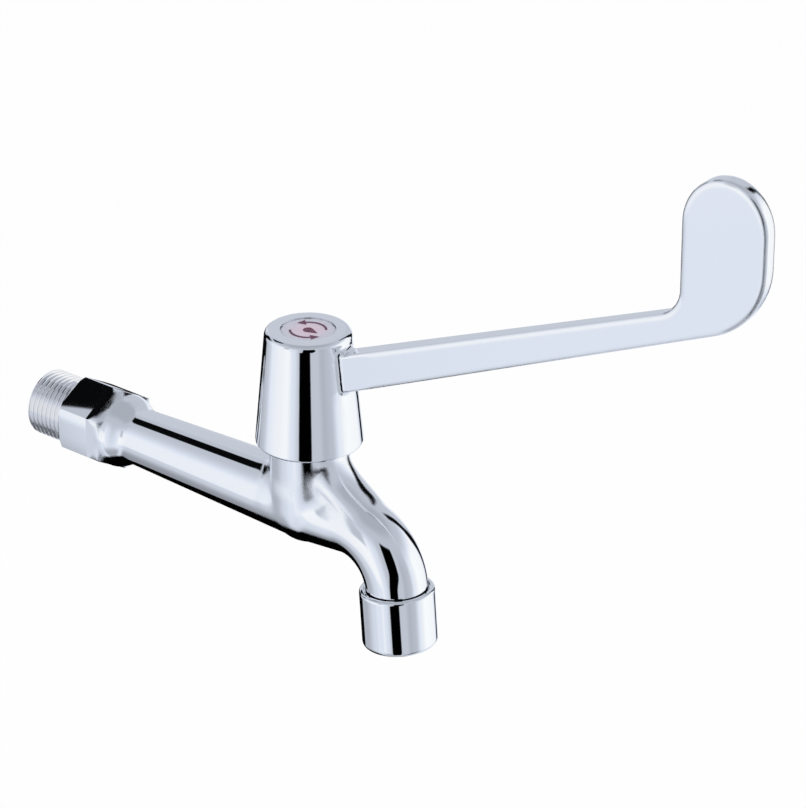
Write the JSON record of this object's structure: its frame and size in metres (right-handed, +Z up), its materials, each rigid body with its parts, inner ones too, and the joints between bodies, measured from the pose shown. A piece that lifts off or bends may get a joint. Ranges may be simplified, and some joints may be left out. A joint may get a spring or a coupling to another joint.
{
  "type": "long lever medical tap",
  "caption": "Wall-fed chromed tap with a bent-down spout, a nozzle ring and a long sloping elbow lever that turns on top of an upright quarter-turn valve.",
  "frame": {"origin": "on the inlet axis, in the plane of the shoulder that meets the wall fitting", "axes": "+X out of the wall along the tube, +Z up along the valve and handle axis, +Y to the left seen from the wall; at rest the lever stands 7 degrees to the +Y side of the spout, as in the picture"},
  "size_m": [0.2595, 0.0369, 0.1712],
  "materials": {
    "body_chrome": "polished chrome over cast brass",
    "handle_chrome": "polished chrome over cast brass",
    "ring_chrome": "polished chrome over turned brass",
    "cap_plastic": "metallised plastic",
    "insert_film": "pale pink printed film",
    "mark_ink": "dark red print",
    "bonnet_brass": "turned brass",
    "fibre": "red vulcanised fibre",
    "spindle_brass": "turned brass",
    "oring_rubber": "black rubber",
    "slip_plastic": "white slip plastic",
    "clip_steel": "spring steel",
    "moving_ceramic": "lapped white ceramic",
    "fixed_ceramic": "lapped white ceramic",
    "seal_rubber": "black rubber",
    "screw_steel": "stainless steel",
    "washer_steel": "stainless spring steel",
    "gasket_rubber": "black rubber",
    "cage_plastic": "grey moulded plastic",
    "diffuser_plastic": "white moulded plastic",
    "screen_steel": "stainless sheet",
    "straightener_plastic": "grey moulded plastic"
  },
  "bodies": {
    "tap": {"tap_body": "body_chrome", "nozzle_ring": "ring_chrome", "headwork_body": "bonnet_brass", "bonnet_washer": "fibre", "fixed_disc": "fixed_ceramic", "seat_seal": "seal_rubber", "aerator_gasket": "gasket_rubber", "aerator_body": "cage_plastic", "aerator_diffuser": "diffuser_plastic", "aerator_screens": "screen_steel", "flow_straightener": "straightener_plastic"},
    "lever": {"lever_handle": "handle_chrome", "index_cap": "cap_plastic", "index_insert": "insert_film", "index_mark": "mark_ink", "handle_screw": "screw_steel", "screw_washer": "washer_steel", "spindle": "spindle_brass", "spindle_orings": "oring_rubber", "friction_washer": "slip_plastic", "spindle_circlip": "clip_steel", "moving_disc": "moving_ceramic"}
  },
  "joints": [
    {"name": "lever_turn", "type": "hinge", "parent": "tap", "child": "lever", "pos_m": [0.0943, 0, 0.04], "axis": [0, 0, 1], "range_deg": [0, 90]}
  ]
}
